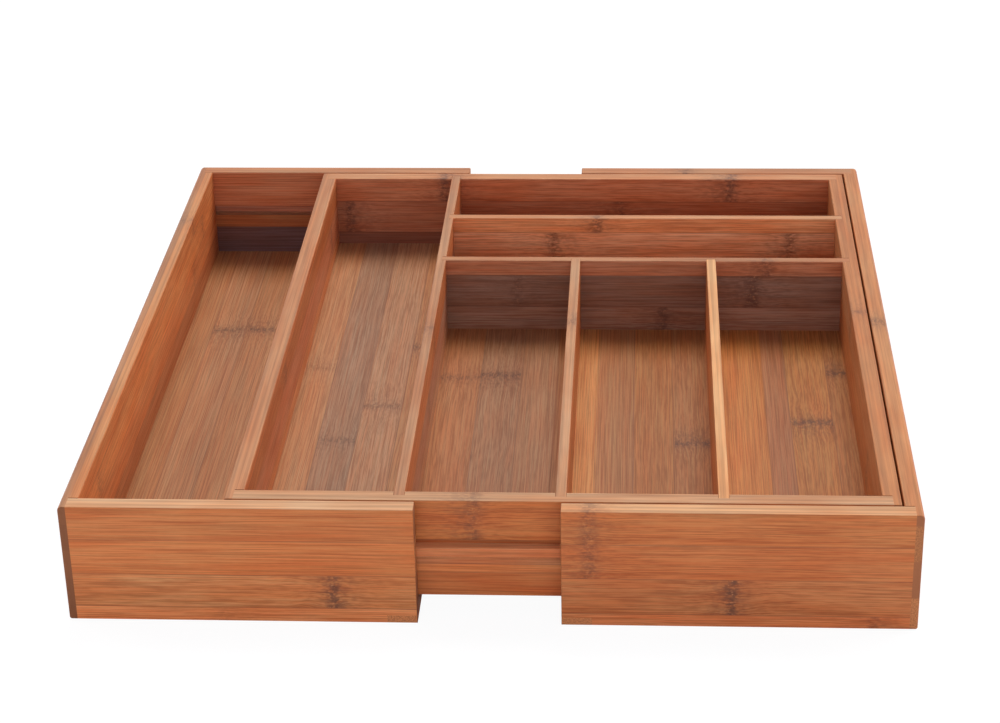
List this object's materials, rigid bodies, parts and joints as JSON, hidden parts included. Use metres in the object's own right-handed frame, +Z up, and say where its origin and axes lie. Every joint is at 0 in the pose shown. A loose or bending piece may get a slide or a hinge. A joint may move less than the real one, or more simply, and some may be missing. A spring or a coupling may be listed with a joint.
{
  "type": "cutlery tray",
  "caption": "Expandable bamboo cutlery tray: a compartmented centre tray between two U-shaped frames that slide out to either side on tongue strips.",
  "frame": {"origin": "middle of the footprint in the rest pose, on the surface that the tray stands on", "axes": "+X to the right along the slides, +Y to the back, +Z up"},
  "size_m": [0.421, 0.43, 0.065],
  "materials": {
    "frame_board": "oiled bamboo, satin",
    "center_board": "oiled bamboo, satin",
    "divider_board": "oiled bamboo, satin",
    "floor_panel": "oiled bamboo, satin",
    "slide_strip": "oiled bamboo, satin"
  },
  "bodies": {
    "center_tray": {"center_front_rail": "center_board", "center_back_rail": "center_board", "center_left_wall": "center_board", "center_right_wall": "center_board", "center_floor": "floor_panel", "front_slide_strip": "slide_strip", "back_slide_strip": "slide_strip", "long_divider": "divider_board", "rear_cross_divider": "divider_board", "middle_cross_divider": "divider_board", "left_short_divider": "divider_board", "right_short_divider": "divider_board"},
    "left_extension": {"left_end_wall": "frame_board", "left_front_rail": "frame_board", "left_back_rail": "frame_board", "left_floor": "floor_panel", "left_tie_batten": "slide_strip"},
    "right_extension": {"right_end_wall": "frame_board", "right_front_rail": "frame_board", "right_back_rail": "frame_board", "right_floor": "floor_panel", "right_tie_batten": "slide_strip"}
  },
  "joints": [
    {"name": "left_slide", "type": "slide", "parent": "center_tray", "child": "left_extension", "axis": [-1, 0, 0], "range_m": [-0.071, 0.044]},
    {"name": "right_slide", "type": "slide", "parent": "center_tray", "child": "right_extension", "axis": [1, 0, 0], "range_m": [0, 0.115]}
  ]
}
